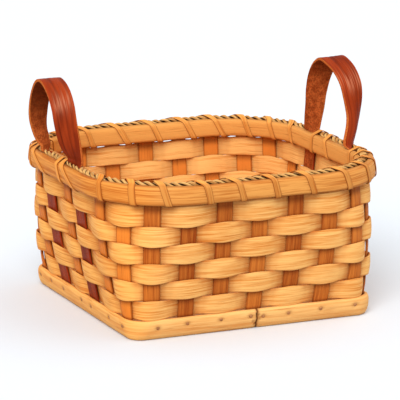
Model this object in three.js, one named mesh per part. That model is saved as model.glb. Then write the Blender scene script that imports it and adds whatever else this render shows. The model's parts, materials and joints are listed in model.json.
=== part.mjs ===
// Woven napkin basket: flat reed stakes and weavers on a square board, a lashed rim and
// two leather finger loops. Millimetres, +Z up, front face towards -Y, loops on the X faces.
import * as THREE from 'three';

// Wall: the middle surface of the weave, a rounded square that flares and softens upwards.
const BASE_HALF = 84;
const WALL_FLARE = 0.25;
const WALL_EASE = 0.001;
const CORNER_AT_BASE = 6;
const CORNER_GROWTH = 0.525;

// Reed sizes.
const STAKES_PER_SIDE = 7;
const FACE_SPREAD = 0.04;
const SIDE_SPREAD = 0.165;
const STAKE_WIDTH = 12.7;
const STAKE_THICK = 1.4;
const WEAVER_THICK = 1.3;
const WEAVER_HALF = 6.05;
const WEAVER_SPREAD = 0.4;
const WEAVER_BULGE = 0.25;
const ROW_COUNT = 6;
const ROW_PITCH = 12.55;
const STAKE_MARGIN = 0.5;
const STAKE_FOOT = 0.4;
const GAP = 0.35;

// Base board and the half-round band nailed round its edge.
const BOARD_THICK = 12;
const BAND_HEIGHT = 13.6;
const BAND_THICK = 3.6;
const BAND_SEAM = 0.5;
const BAND_TO_ROW = 1.0;

// Rim: an inner and an outer half-round strip, a cord between their tops, one lashing reed.
const RIM_CLEARANCE = 2.6;
const RIM_HEIGHT = 12.8;
const RIM_THICK = 4;
const RIM_EDGE = 0.3;
const RIM_PLAY = 0.05;
const TOP_WEAVER_LIFT = 0.2;
const TOP_WEAVER_DROP = 1.4;
const CORD_HALF_WIDTH = 2.6;
const CORD_HALF_HEIGHT = 1.7;
const LASHING_WIDTH = 4.8;
const LASHING_THICK = 0.9;
const LASHING_TO_LEG = 1;
const LASHING_FALL = 0.55;
const LASHING_ROUND = 0.4;
const LASHING_TUCK = 1.2;
const LASHING_OVERHANG = 0.2;

// Leather finger loops.
const STRAP_WIDTH = 16;
const STRAP_THICK = 2.2;
const LEFT_LEG_FRONT = 0.84;
const LEFT_LEG_BACK = 1.34;
const LEFT_FRONT_SLANT = 0.15;
const LEFT_BACK_SLANT = 0.2;
const RIGHT_LEG_FRONT = 1.28;
const RIGHT_LEG_BACK = 1.2;
const STRAP_BULGE = 0.05;
const LEG_STEP_START = 0.1;
const LEG_STEP_HEIGHT = 2.6;
const HINGE_GAP = 0.3;
const LEFT_LOOP_HEIGHT = 49.5;
const RIGHT_LOOP_HEIGHT = 51.7;

const STAKES = STAKES_PER_SIDE * 4;
const WALL_FOOT = BAND_HEIGHT + BAND_TO_ROW;
const ROWS_TOP = WALL_FOOT + ROW_COUNT * ROW_PITCH;
const RIM_LOW = ROWS_TOP + RIM_CLEARANCE;
const RIM_TOP = RIM_LOW + RIM_HEIGHT;
const RIM_MIDDLE = (RIM_LOW + RIM_TOP) / 2;
const CORD_LEVEL = RIM_TOP - 0.2 * CORD_HALF_HEIGHT;
const STAKE_TOP = CORD_LEVEL - CORD_HALF_HEIGHT - GAP;
const TOP_WEAVER_LOW = RIM_LOW + TOP_WEAVER_LIFT;
const TOP_WEAVER_HIGH = STAKE_TOP - TOP_WEAVER_DROP;
const STRAP_CLEAR = STRAP_THICK / 2 + GAP + WEAVER_THICK / 2;
const RIM_FACE = STRAP_CLEAR + WEAVER_THICK / 2 + GAP + RIM_PLAY;
const STRAP_INSET = RIM_FACE - GAP - STRAP_THICK / 2;
const LASHING_STANDOFF = 1.5 * GAP + LASHING_THICK / 2;
const CORD_TOP = CORD_LEVEL + CORD_HALF_HEIGHT;
const HINGE_LEVEL = CORD_TOP + 2 * LASHING_STANDOFF + STRAP_THICK / 2;
const LEG_TOP = HINGE_LEVEL - STRAP_THICK / 2 - HINGE_GAP;
const RING_STEPS_CORNER = 6;

const wallHalf = (z) => BASE_HALF + WALL_FLARE * z - WALL_EASE * z * z;
const wallCorner = (z) => CORNER_AT_BASE + CORNER_GROWTH * z;
const sideLength = (z) => 2 * (wallHalf(z) - wallCorner(z)) + wallCorner(z) * Math.PI / 2;
const pitchAt = (z) => sideLength(z) / STAKES_PER_SIDE;

// Point of the wall at a place counted in stake pitches from the middle of the front face,
// at height z, moved outwards by offset.
function wallPoint(place, z, offset) {
  const turns = place / STAKES_PER_SIDE + 0.5;
  const side = Math.floor(turns);
  const run = (turns - side - 0.5) * sideLength(z);
  const radius = wallCorner(z);
  const flat = wallHalf(z) - radius;
  const bend = Math.max(0, Math.abs(run) - flat) / radius;
  const way = Math.sign(run);
  const along = way * (Math.min(Math.abs(run), flat) + (radius + offset) * Math.sin(bend));
  const out = -flat - (radius + offset) * Math.cos(bend);
  const turn = side * Math.PI / 2;
  return new THREE.Vector3(
    along * Math.cos(turn) - out * Math.sin(turn),
    along * Math.sin(turn) + out * Math.cos(turn),
    z,
  );
}

// Closed body from a run of equal sections; the run is a ring, or is capped at both ends.
function sweep(sections, ring) {
  const count = sections[0].length;
  const points = sections.flat();
  const faces = [];
  const last = ring ? sections.length : sections.length - 1;
  for (let i = 0; i < last; i += 1) {
    const here = i * count;
    const next = ((i + 1) % sections.length) * count;
    for (let j = 0; j < count; j += 1) {
      const k = (j + 1) % count;
      faces.push(here + j, next + j, next + k, here + j, next + k, here + k);
    }
  }
  if (!ring) {
    const end = (sections.length - 1) * count;
    for (let j = 1; j < count - 1; j += 1) {
      faces.push(0, j, j + 1, end, end + j + 1, end + j);
    }
  }
  let volume = 0;
  for (let f = 0; f < faces.length; f += 3) {
    const cross = new THREE.Vector3().crossVectors(points[faces[f + 1]], points[faces[f + 2]]);
    volume += points[faces[f]].dot(cross);
  }
  if (volume < 0) faces.reverse();
  const geometry = new THREE.BufferGeometry().setFromPoints(points);
  geometry.setIndex(faces);
  geometry.computeVertexNormals();
  return geometry;
}

const materials = {
  weaver: [0xdcab69, 0.62],
  stake: [0xc78643, 0.66],
  band: [0xd7a15c, 0.6],
  board: [0xd3a062, 0.7],
  rim: [0xd9a55f, 0.58],
  cord: [0xc2a068, 0.85],
  lashing: [0xe2bb7c, 0.6],
  leather: [0x75351a, 0.5],
};
const group = new THREE.Group();
group.name = 'napkin_basket';

function add(name, kind, geometry) {
  const [color, roughness] = materials[kind];
  const material = new THREE.MeshStandardMaterial({ color, roughness, metalness: 0 });
  const mesh = new THREE.Mesh(geometry, material);
  mesh.name = name;
  group.add(mesh);
}

// Stakes are counted round the wall from the left end of the front face, and stand a little
// closer at the corners. On the two faces with loops the third and fifth places hold leather,
// each leg at its own distance from the middle of the face. The legs of the left loop slant
// towards the back inside the rim.
const sideNames = ['front', 'right', 'back', 'left'];
const middle = (STAKES_PER_SIDE - 1) / 2;
const stakes = [];
for (let i = 0; i < STAKES; i += 1) {
  const side = Math.floor(i / STAKES_PER_SIDE);
  const step = i % STAKES_PER_SIDE - middle;
  const strapped = side % 2 === 1;
  const leather = strapped && Math.abs(step) === 1;
  const most = Math.SQRT2 * (strapped ? SIDE_SPREAD : FACE_SPREAD);
  const spread = most * Math.sin(Math.PI * step / (middle + 1));
  const onLeft = sideNames[side] === 'left';
  const isFront = onLeft === (step > 0);
  const legFront = onLeft ? LEFT_LEG_FRONT : RIGHT_LEG_FRONT;
  const legBack = onLeft ? LEFT_LEG_BACK : RIGHT_LEG_BACK;
  const legPlace = Math.sign(step) * (isFront ? legFront : legBack);
  const legSlant = isFront ? LEFT_FRONT_SLANT : LEFT_BACK_SLANT;
  stakes.push({
    side: sideNames[side],
    number: step + middle + 1,
    index: i - middle,
    place: side * STAKES_PER_SIDE + (leather ? legPlace : step + spread),
    slant: leather && onLeft ? -legSlant : 0,
    leather,
    isFront,
    width: leather ? STRAP_WIDTH : STAKE_WIDTH,
    thick: leather ? STRAP_THICK : STAKE_THICK,
  });
}

// Where a strip changes sides between stake i and the next: the middle of the free gap.
function crossing(i, z) {
  const a = stakes[i % STAKES];
  const b = stakes[(i + 1) % STAKES];
  const wrap = STAKES * Math.floor((i + 1) / STAKES) - STAKES * Math.floor(i / STAKES);
  const pitch = pitchAt(z);
  return (a.place + a.width / 2 / pitch + b.place + wrap - b.width / 2 / pitch) / 2;
}

// A stake or leather leg, in columns so that it follows the wall: more of them near a corner.
function upright(stake, levels, slantAt, insetAt, thickAt) {
  const parts = stake.number === 1 || stake.number === STAKES_PER_SIDE ? 5 : 2;
  return sweep(levels.map((z) => {
    const half = stake.width / 2 / pitchAt(z);
    const middleOffset = insetAt(z);
    const columns = [];
    for (let c = 0; c <= parts; c += 1) {
      columns.push(stake.place + stake.slant * slantAt(z) + half * (2 * c / parts - 1));
    }
    const outer = columns.map((place) => wallPoint(place, z, middleOffset + thickAt(z) / 2));
    const inner = columns.map((place) => wallPoint(place, z, middleOffset - thickAt(z) / 2));
    return [...outer, ...inner.reverse()];
  }), false);
}

const wallLevels = [STAKE_FOOT, BAND_HEIGHT / 2, BAND_HEIGHT];
for (let row = 0; row <= ROW_COUNT; row += 1) {
  wallLevels.push(WALL_FOOT + row * ROW_PITCH);
}

// The legs are pared thin behind the base band, run straight through the weave, then step
// inwards past the cord.
const stepLow = TOP_WEAVER_HIGH + LEG_STEP_START;
const stepHigh = stepLow + LEG_STEP_HEIGHT;
const share = (z, low, high) => Math.min(1, Math.max(0, (z - low) / (high - low)));
const legInset = (z) => -STRAP_INSET * share(z, stepLow, stepHigh);
const legSlope = (z) => share(z, stepLow, LEG_TOP);
const legThick = (z) => (z > BAND_HEIGHT ? STRAP_THICK : STAKE_THICK);

for (const stake of stakes) {
  if (stake.leather) {
    const name = `strap_${stake.side}_leg_${stake.isFront ? 'front' : 'back'}`;
    const levels = [...wallLevels, stepLow, stepHigh, LEG_TOP];
    add(name, 'leather', upright(stake, levels, legSlope, legInset, legThick));
  } else {
    const name = `stake_${stake.side}_${stake.number}`;
    add(name, 'stake', upright(stake, [...wallLevels, STAKE_TOP], () => 0, () => 0, () => STAKE_THICK));
  }
}

// One weaver ring: outside every second stake and inside the ones between.
function weaver(row, low, high, spread) {
  const level = (low + high) / 2;
  const pitch = pitchAt(level);
  const sections = [];
  const section = (place, offset, half) => {
    const corners = [[-half, -1], [-half, 1], [half, 1], [half, -1]];
    sections.push(corners.map(([dz, s]) => wallPoint(place, level + dz, offset + s * WEAVER_THICK / 2)));
  };
  const narrow = (high - low) / 2;
  const tight = wallCorner(level) < 2.5 * STAKE_WIDTH;
  stakes.forEach((stake, i) => {
    const out = (stake.index + row + STAKES) % 2 === 0 ? 1 : -1;
    const reach = (stake.width / 2 + STAKE_MARGIN) / pitch;
    const clear = stake.thick / 2 + GAP + WEAVER_THICK / 2;
    const bulge = stake.leather ? STRAP_BULGE : WEAVER_BULGE;
    const nearCorner = stake.number === 1 || stake.number === STAKES_PER_SIDE;
    const steps = tight && nearCorner ? [-1, -0.5, 0, 0.5, 1] : [-1, 0, 1];
    for (const step of steps) {
      section(stake.place + step * reach, out * (clear + bulge * (1 - step * step)), narrow + spread);
    }
    section(crossing(i, level), 0, narrow);
  });
  return sweep(sections, true);
}

for (let row = 1; row <= ROW_COUNT; row += 1) {
  const level = WALL_FOOT + (row - 0.5) * ROW_PITCH;
  add(`weaver_row_${row}`, 'weaver', weaver(row, level - WEAVER_HALF, level + WEAVER_HALF, WEAVER_SPREAD));
}
add('top_weaver', 'weaver', weaver(ROW_COUNT + 1, TOP_WEAVER_LOW, TOP_WEAVER_HIGH, 0));

// Places round the wall with close steps on the corners and wide ones on the flats.
function ringPlaces(level, steps) {
  const flat = (wallHalf(level) - wallCorner(level)) / pitchAt(level);
  const places = [];
  for (let side = 0; side < 4; side += 1) {
    const centre = side * STAKES_PER_SIDE;
    places.push(centre - flat, centre, centre + flat);
    const bend = STAKES_PER_SIDE - 2 * flat;
    for (let s = 1; s < 2 * steps; s += 1) {
      places.push(centre + flat + bend * s / (2 * steps));
    }
  }
  return places.sort((a, b) => a - b);
}

// Half-round strip: flat against the wall at offset face, rounded on the other side.
function halfRound(face, away, low, height, thick, flatFoot) {
  const foot = flatFoot ? 0 : RIM_EDGE;
  const crown = [[0, foot], [0.42, 0], [0.86, 0.17], [1, 0.5], [0.86, 0.83], [0.42, 1]];
  const profile = crown.map(([t, h], i) => [face + away * t * thick, low + (i === 0 ? h : h * height)]);
  profile.push([face, low + height - RIM_EDGE]);
  if (flatFoot) profile.push([face, low + height / 2]);
  return profile;
}

function ringOf(profile, places, ring) {
  return sweep(places.map((place) => profile.map(([offset, z]) => wallPoint(place, z, offset))), ring);
}

// Base board with its edge at the slope of the wall.
const boardPlaces = ringPlaces(BOARD_THICK / 2, RING_STEPS_CORNER);
const boardInset = -(STAKE_THICK / 2 + GAP);
const boardLevels = [0, BOARD_THICK / 2, BOARD_THICK];
const boardEdges = boardLevels.map((z) => boardPlaces.map((place) => wallPoint(place, z, boardInset)));
add('base_board', 'board', sweep(boardEdges, false));

// Base band, open at its butt seam in the middle of the front face.
const seam = BAND_SEAM / 2 / pitchAt(0);
const bandPlaces = ringPlaces(BAND_HEIGHT / 2, RING_STEPS_CORNER).map((p) => (p < 0 ? p + STAKES : p));
const bandRun = [seam, ...bandPlaces.filter((p) => p > seam && p < STAKES - seam), STAKES - seam];
bandRun.sort((a, b) => a - b);
const bandFace = STAKE_THICK / 2 + GAP;
add('base_band', 'band', ringOf(halfRound(bandFace, 1, 0, BAND_HEIGHT, BAND_THICK, true), bandRun, false));

const rimPlaces = ringPlaces(RIM_MIDDLE, RING_STEPS_CORNER);
const rimStrip = (away) => halfRound(away * RIM_FACE, away, RIM_LOW, RIM_HEIGHT, RIM_THICK, false);
add('rim_outer', 'rim', ringOf(rimStrip(1), rimPlaces, true));
add('rim_inner', 'rim', ringOf(rimStrip(-1), rimPlaces, true));

// Filler cord between the rim strips: pressed outwards where a leather leg comes up beside it.
const squeezeLow = -STRAP_INSET + STRAP_THICK / 2 + GAP;
const squeezeHigh = RIM_FACE - GAP;
const cordSections = [];
for (const stake of stakes) {
  const most = stake.leather ? 0.42 : 0.3;
  for (const step of [-most, 0, most]) {
    const place = stake.place + stake.slant / 2 + step;
    const shift = stake.leather ? (squeezeLow + squeezeHigh) / 2 : 0;
    const half = stake.leather ? (squeezeHigh - squeezeLow) / 2 : CORD_HALF_WIDTH;
    const tall = stake.leather ? CORD_HALF_HEIGHT * 0.85 : CORD_HALF_HEIGHT;
    const section = [];
    for (let k = 0; k < 8; k += 1) {
      const a = (k + 0.5) * Math.PI / 4;
      const level = CORD_LEVEL + tall * Math.sin(a);
      section.push(wallPoint(place, level, shift + half * Math.cos(a)));
    }
    cordSections.push(section);
  }
}
add('rim_filler', 'cord', sweep(cordSections, true));

// Lashing: one unbroken flat reed, wound once round the rim for every stake. It passes under
// the rim midway between stakes and over the cord at the stake, or just before a leather leg.
const reach = RIM_FACE + RIM_THICK + LASHING_STANDOFF;
const shoulder = RIM_FACE + RIM_THICK * 0.62 + LASHING_STANDOFF * 0.55;
const halfTurn = [
  [0, CORD_TOP + LASHING_STANDOFF],
  [CORD_HALF_WIDTH + LASHING_OVERHANG, CORD_TOP + LASHING_STANDOFF - LASHING_FALL],
  [shoulder, RIM_TOP + LASHING_STANDOFF * 0.9],
  [reach - LASHING_ROUND, RIM_TOP - RIM_HEIGHT * 0.2],
  [reach, RIM_MIDDLE],
  [reach - LASHING_ROUND, RIM_LOW + RIM_HEIGHT * 0.2],
  [shoulder + LASHING_FALL, RIM_LOW - LASHING_STANDOFF * 0.25],
  [shoulder - LASHING_TUCK, RIM_LOW - RIM_CLEARANCE / 2],
  [0, RIM_LOW - RIM_CLEARANCE / 2],
];
const lengths = [0];
for (let k = 1; k < halfTurn.length; k += 1) {
  const [n0, z0] = halfTurn[k - 1];
  const [n1, z1] = halfTurn[k];
  lengths.push(lengths[k - 1] + Math.hypot(n1 - n0, z1 - z0));
}
const halfLength = lengths[lengths.length - 1];
const lashingPath = [];
stakes.forEach((stake, i) => {
  const before = crossing((i + STAKES - 1) % STAKES, RIM_LOW) - (i === 0 ? STAKES : 0);
  const after = crossing(i, RIM_LOW);
  const legEdge = (STRAP_WIDTH / 2 + LASHING_WIDTH / 2 + LASHING_TO_LEG) / pitchAt(RIM_TOP);
  const next = stakes[(i + 1) % STAKES];
  const over = stake.place + (stake.leather ? stake.slant - legEdge : next.slant);
  for (let k = halfTurn.length - 1; k > 0; k -= 1) {
    const place = over + (before - over) * lengths[k] / halfLength;
    lashingPath.push([place, -halfTurn[k][0], halfTurn[k][1], k === halfTurn.length - 1]);
  }
  for (let k = 0; k < halfTurn.length - 1; k += 1) {
    const place = over + (after - over) * lengths[k] / halfLength;
    lashingPath.push([place, halfTurn[k][0], halfTurn[k][1], false]);
  }
});
const lashingLine = lashingPath.map(([place, offset, z]) => wallPoint(place, z, offset));
const lashingCore = lashingPath.map(([place]) => wallPoint(place, RIM_MIDDLE, 0));
const lashingSections = lashingLine.map((point, i) => {
  const count = lashingLine.length;
  const ahead = lashingLine[(i + 1) % count];
  const behind = lashingLine[(i + count - 1) % count];
  const along = ahead.clone().sub(behind).normalize();
  const away = point.clone().sub(lashingCore[i]);
  const across = new THREE.Vector3().crossVectors(along, away).normalize();
  const face = new THREE.Vector3().crossVectors(across, along).normalize();
  const corners = [[-1, -1], [1, -1], [1, 1], [-1, 1]];
  return corners.map(([a, b]) => point.clone()
    .addScaledVector(across, a * LASHING_WIDTH / 2)
    .addScaledVector(face, b * LASHING_THICK / 2));
});
add('rim_lashing', 'lashing', sweep(lashingSections, true));

// Least distance of the lashing to its own other turns, measured on its points.
let leastGap = Infinity;
const turnSteps = 2 * (halfTurn.length - 1);
for (let i = 0; i < lashingSections.length; i += 1) {
  for (let j = i + 4; j < lashingSections.length; j += 1) {
    const apart = Math.min(j - i, lashingSections.length - (j - i));
    if (apart < 4 || apart > 3 * turnSteps) continue;
    for (const a of lashingSections[i]) {
      for (const b of lashingSections[j]) leastGap = Math.min(leastGap, a.distanceTo(b));
    }
  }
}
console.log(`lashing least gap to itself ${leastGap.toFixed(2)} mm`);

// Leather loop: an arch of strap that turns a quarter about its own length on each leg, so
// that it stands edge-on to the wall at the top. Its lower ends are rounded at the hinge line.
function loop(side, height, shape) {
  const away = new THREE.Vector3(side === 'left' ? -1 : 1, 0, 0);
  const legs = stakes.filter((stake) => stake.leather && stake.side === side);
  const [one, other] = legs.map((leg) => wallPoint(leg.place + leg.slant, HINGE_LEVEL, -STRAP_INSET));
  const hinge = one.clone().add(other).divideScalar(2);
  const legY = Math.abs(one.y - other.y) / 2;
  const points = shape.map(([y, up, out]) => new THREE.Vector3(0, y * legY, up * height)
    .addScaledVector(away, out * height));
  const curve = new THREE.CatmullRomCurve3(points);
  const steps = 36;
  const stations = [];
  for (let s = 0; s <= steps; s += 1) {
    stations.push({ at: curve.getPointAt(s / steps), along: curve.getTangentAt(s / steps), scale: 1 });
  }
  stations[0].along.set(0, 0, 1);
  stations[steps].along.set(0, 0, -1);
  const rounding = [85, 55, 28].map((angle) => THREE.MathUtils.degToRad(angle));
  const roundEnd = (station) => rounding.map((angle) => ({
    at: station.at.clone().setZ(-STRAP_THICK / 2 * Math.sin(angle)),
    along: station.along,
    scale: Math.cos(angle),
  }));
  const run = [...roundEnd(stations[0]), ...stations, ...roundEnd(stations[steps]).reverse()];
  const acrossWall = new THREE.Vector3(1, 0, 0);
  return sweep(run.map(({ at, along, scale }) => {
    const twist = Math.PI / 2 * THREE.MathUtils.smoothstep(at.z, 0, height);
    const archOut = new THREE.Vector3().crossVectors(acrossWall, along).normalize();
    const wallOut = away.clone().addScaledVector(along, -away.dot(along)).normalize();
    const face = wallOut.multiplyScalar(Math.cos(twist)).addScaledVector(archOut, Math.sin(twist));
    const across = new THREE.Vector3().crossVectors(along, face).normalize();
    const centre = hinge.clone().add(at);
    const corners = [[-1, -1], [1, -1], [1, 1], [-1, 1]];
    return corners.map(([a, b]) => centre.clone()
      .addScaledVector(across, a * STRAP_WIDTH / 2)
      .addScaledVector(face, b * scale * STRAP_THICK / 2));
  }), false);
}

// Arch shapes from the front leg to the back one: along the wall as a part of the leg spacing,
// up and outwards as parts of the loop's height.
const leftArch = [
  [-1, 0, 0], [-0.95, 0.08, 0.03], [-0.9, 0.2, 0.07], [-0.87, 0.38, 0.11], [-0.82, 0.54, 0.13],
  [-0.69, 0.7, 0.13], [-0.45, 0.86, 0.13], [-0.1, 0.97, 0.13], [0.25, 1, 0.13], [0.6, 0.93, 0.13],
  [0.87, 0.75, 0.13], [1, 0.55, 0.13], [1.04, 0.38, 0.12], [1.05, 0.2, 0.08], [1.03, 0.08, 0.03],
  [1, 0, 0],
];
const rightArch = [
  [-1, 0, 0], [-0.99, 0.08, 0.03], [-0.98, 0.2, 0.06], [-0.97, 0.36, 0.08], [-0.96, 0.56, 0.07],
  [-0.86, 0.76, 0.05], [-0.55, 0.92, 0.03], [-0.07, 1, 0], [0.33, 0.9, -0.02], [0.55, 0.72, -0.03],
  [0.7, 0.5, -0.02], [0.81, 0.3, -0.01], [0.93, 0.12, 0], [1, 0, 0],
];
add('strap_left_loop', 'leather', loop('left', LEFT_LOOP_HEIGHT, leftArch));
add('strap_right_loop', 'leather', loop('right', RIGHT_LOOP_HEIGHT, rightArch));

export default group;
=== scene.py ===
"""Looks of a woven napkin basket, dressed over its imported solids.

Every piece is worked out in millimetres on the basket's own wall: a rounded square that flares
upwards. A place on it is counted in stake pitches from the middle of the front face, turning
towards the right loop, and a point is a place, a level and an offset outwards.
"""
import json
import math

import bpy
import numpy as np
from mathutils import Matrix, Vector


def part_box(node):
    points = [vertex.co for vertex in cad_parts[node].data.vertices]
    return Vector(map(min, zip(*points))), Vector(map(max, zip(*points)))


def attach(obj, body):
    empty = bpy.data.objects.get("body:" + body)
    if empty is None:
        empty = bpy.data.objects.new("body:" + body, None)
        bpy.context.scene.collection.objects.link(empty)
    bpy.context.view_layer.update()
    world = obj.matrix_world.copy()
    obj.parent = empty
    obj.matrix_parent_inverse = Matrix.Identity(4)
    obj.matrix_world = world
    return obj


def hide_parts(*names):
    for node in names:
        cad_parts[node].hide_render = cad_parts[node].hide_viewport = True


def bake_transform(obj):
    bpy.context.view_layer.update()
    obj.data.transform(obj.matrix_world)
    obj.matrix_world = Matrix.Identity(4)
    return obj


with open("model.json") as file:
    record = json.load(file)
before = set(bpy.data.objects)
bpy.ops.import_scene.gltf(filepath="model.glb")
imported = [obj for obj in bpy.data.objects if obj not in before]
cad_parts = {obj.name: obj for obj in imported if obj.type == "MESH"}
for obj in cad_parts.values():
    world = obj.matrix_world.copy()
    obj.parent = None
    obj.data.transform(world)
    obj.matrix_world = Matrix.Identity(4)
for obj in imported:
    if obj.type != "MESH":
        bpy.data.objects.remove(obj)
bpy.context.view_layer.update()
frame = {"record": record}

MM = 0.001
SEED = 27
rng = np.random.default_rng(SEED)

# Wall of the basket
BASE_HALF = 84.0
WALL_FLARE = 0.25
WALL_EASE = 0.001
CORNER_AT_BASE = 6.0
CORNER_GROWTH = 0.525
STAKES_PER_SIDE = 7
STAKES = 4 * STAKES_PER_SIDE
# How far stakes stand out of their even pitch, in pitches: on the front and back, and on the loop sides
FACE_SPREAD = 0.04
SIDE_SPREAD = 0.165

# Reed and leather stock
STAKE_WIDTH = 11.3
STAKE_THICK = 1.4
STAKE_FOOT = 0.4
STAKE_SWAY = 0.2
STAKE_FLUTE = 0.03
STAKE_FLUTE_WAVES = 2.6
WEAVER_THICK = 1.3
WEAVER_HALF = 6.31
WEAVER_SPREAD = 0.85
WEAVER_INSIDE_SPREAD = 0.35
WEAVER_INSIDE_RISE = 0.9
# How much paler the weavers' inside faces are drawn, through their tone: painted light
WEAVER_INSIDE_PAINTED_LIGHT = 0.8
WEAVER_REACH = 1.95
WEAVER_REACH_AT_LEATHER = 2.0
WEAVER_TURN = 0.85
WEAVER_BOW = 0.3
WEAVER_FLUTE = 0.035
WEAVER_FLUTE_WAVES = 2.4
FOOT_ROW_DROP = 0.5
TOP_ROW_RISE = 0.6
TOP_ROW_LEAN = 0.15
STRAP_WIDTH = 16.0
STRAP_THICK = 2.2
LEG_THICK = 1.3
LEG_WIDTH = 15.4
# Legs' places from the middle of their side, and their slants in the rim, in pitches, front leg first
LEFT_LEGS = (0.84, -1.34)
LEFT_SLANTS = (-0.28, -0.3)
RIGHT_LEGS = (-1.28, 1.2)
RIGHT_SLANTS = (-0.14, -0.16)
STRAP_INSET = 1.7
LEFT_LOOP_HEIGHT = 49.5
RIGHT_LOOP_HEIGHT = 53.0

# Base and rim
BOARD_INSET = 1.05
BOARD_EASE = 0.8
BAND_FACE = 1.05
BAND_THICK = 3.6
SEAM_PLACE = 0.07
SEAM_WIDTH = 0.9
BRAD_LEVEL = 8.8
BRAD_RADIUS = 1.2
BRAD_SINK = 0.5
BRAD_FROM_SEAM = 0.19
RIM_FACE = 3.15
RIM_THICK = 4.0
BAND_POWER = 2.6
RIM_POWER = 4.0
# Tone of the inner rim strip, low so that it is drawn paler: painted light
RIM_INSIDE_PAINTED_LIGHT = -0.7
CORD_HALF_WIDTH = 2.6
CORD_TWIST = 11.6
CORD_SWELL = 0.8
CORD_CLEARANCE = 0.35
LASHING_WIDTH = 4.3
LASHING_THICK = 0.6
LASHING_STANDOFF = 0.42
LASHING_UNDER = 0.75
LASHING_EASE = 25
# Shares of a turn at the lashing's corners: below, inside and outside on top, and below again
LASHING_CORNERS = (0, 0.42, 0.58, 1)
# Places of its top corners from the stake, in pitches
LASHING_INNER = -0.06
LASHING_OUTER = 0.25
LASHING_OUTER_BEFORE_LEATHER = 0.1

# Fineness of the meshes: stations along each strip
WEAVER_STATIONS_PER_PITCH = 22
HIDDEN_ROW_STATIONS_PER_PITCH = 12
STAKE_STATIONS = 90
BOARD_STATIONS = 280
BAND_STATIONS = 1500
RIM_STATIONS = 560
CORD_STATIONS = 1400
LASHING_STATIONS_PER_TURN = 128
LEG_STATIONS = 110
LOOP_STATIONS = 170
OUTLINE_STATIONS = 400
LOOP_SAMPLES = 120

# View of the photograph, in degrees and metres
VIEW_AZIMUTH = -23.806
VIEW_ELEVATION = 13.4465
VIEW_DISTANCE = 2.0725
VIEW_CENTRE = (0.0, 0.0, 0.0516)
VIEW_LIFT = 0.01759
VIEW_SIDE = -0.0003
VIEW_LENS = 269.5
VIEW_FAR = 20.0


def span(node):
    """Lowest and highest level of a CAD node, in millimetres."""
    low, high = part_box(node)
    return low[2] / MM, high[2] / MM


BOARD_TOP = span("base_board")[1]
BAND_TOP = span("base_band")[1]
RIM_LOW, RIM_TOP = span("rim_outer")
RIM_MIDDLE = (RIM_LOW + RIM_TOP) / 2
CORD_LOW, CORD_TOP = span("rim_filler")
CORD_LEVEL = (CORD_LOW + CORD_TOP) / 2
STAKE_TOP = span("stake_front_4")[1]
ROW_LEVELS = [sum(span(f"weaver_row_{row}")) / 2 for row in range(1, 7)]
ROW_PITCH = ROW_LEVELS[1] - ROW_LEVELS[0]
HIDDEN_ROW_LOW, HIDDEN_ROW_HIGH = span("top_weaver")
JOINTS = {joint["name"]: joint for joint in frame["record"]["behaviour"]["joints"]}
HINGE_LEVEL = JOINTS["strap_left_flex"]["pos_m"][2] / MM


def side_length(z):
    """Length of one side of the wall at level z: two flats and a quarter circle."""
    radius = CORNER_AT_BASE + CORNER_GROWTH * z
    half = BASE_HALF + WALL_FLARE * z - WALL_EASE * z * z
    return 2 * (half - radius) + radius * math.pi / 2


def pitch_at(z):
    """Distance between stakes along the wall at level z."""
    return side_length(z) / STAKES_PER_SIDE


def wall(place, z, offset):
    """Point of the wall at a place, a level and an offset outwards, as whole arrays.

    The run along a side is straight up to the flat's end and then goes round the corner's
    circle, whose radius grows with the offset; each further side is turned by a quarter.
    """
    place, z, offset = np.broadcast_arrays(place, z, offset)
    turns = place / STAKES_PER_SIDE + 0.5
    side = np.floor(turns)
    radius = CORNER_AT_BASE + CORNER_GROWTH * z
    flat = BASE_HALF + WALL_FLARE * z - WALL_EASE * z * z - radius
    run = (turns - side - 0.5) * side_length(z)
    bend = np.maximum(0, np.abs(run) - flat) / radius
    along = np.sign(run) * (np.minimum(np.abs(run), flat) + (radius + offset) * np.sin(bend))
    out = -flat - (radius + offset) * np.cos(bend)
    turn = side * math.pi / 2
    x = along * np.cos(turn) - out * np.sin(turn)
    y = along * np.sin(turn) + out * np.cos(turn)
    return np.stack([x, y, z + 0 * x], axis=-1)


# Stakes, counted from the left end of the front face; leather stands in for two on each loop side
STAKE_INDEX = np.arange(STAKES)
STAKE_SIDE = STAKE_INDEX // STAKES_PER_SIDE
STAKE_STEP = STAKE_INDEX % STAKES_PER_SIDE - 3
LOOP_SIDE = STAKE_SIDE % 2 == 1
IS_LEATHER = LOOP_SIDE & (np.abs(STAKE_STEP) == 1)
STAKE_SPREAD = np.where(LOOP_SIDE, SIDE_SPREAD, FACE_SPREAD)
STAKE_SPREAD = STAKE_SPREAD * math.sqrt(2) * np.sin(math.pi * STAKE_STEP / 4)
STAKE_PLACE = STAKE_SIDE * STAKES_PER_SIDE + STAKE_STEP + STAKE_SPREAD
RIGHT_MIDDLE, LEFT_MIDDLE = STAKES_PER_SIDE, 3 * STAKES_PER_SIDE
STAKE_PLACE[IS_LEATHER & (STAKE_SIDE == 1)] = RIGHT_MIDDLE + np.array(RIGHT_LEGS)
STAKE_PLACE[IS_LEATHER & (STAKE_SIDE == 3)] = LEFT_MIDDLE + np.array(LEFT_LEGS[::-1])
STAKE_SLANT = np.zeros(STAKES)
STAKE_SLANT[IS_LEATHER & (STAKE_SIDE == 1)] = RIGHT_SLANTS
STAKE_SLANT[IS_LEATHER & (STAKE_SIDE == 3)] = LEFT_SLANTS[::-1]
RIM_PLACE = STAKE_PLACE + STAKE_SLANT
UPRIGHT_WIDTH = np.where(IS_LEATHER, LEG_WIDTH, STAKE_WIDTH)
SIDE_NAMES = ["front", "right", "back", "left"]


def wrapped(values, step=0.0):
    """Values per stake with one neighbour added at each end, the step being one whole turn."""
    return np.concatenate([[values[-1] - step], values, [values[0] + step]])


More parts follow.
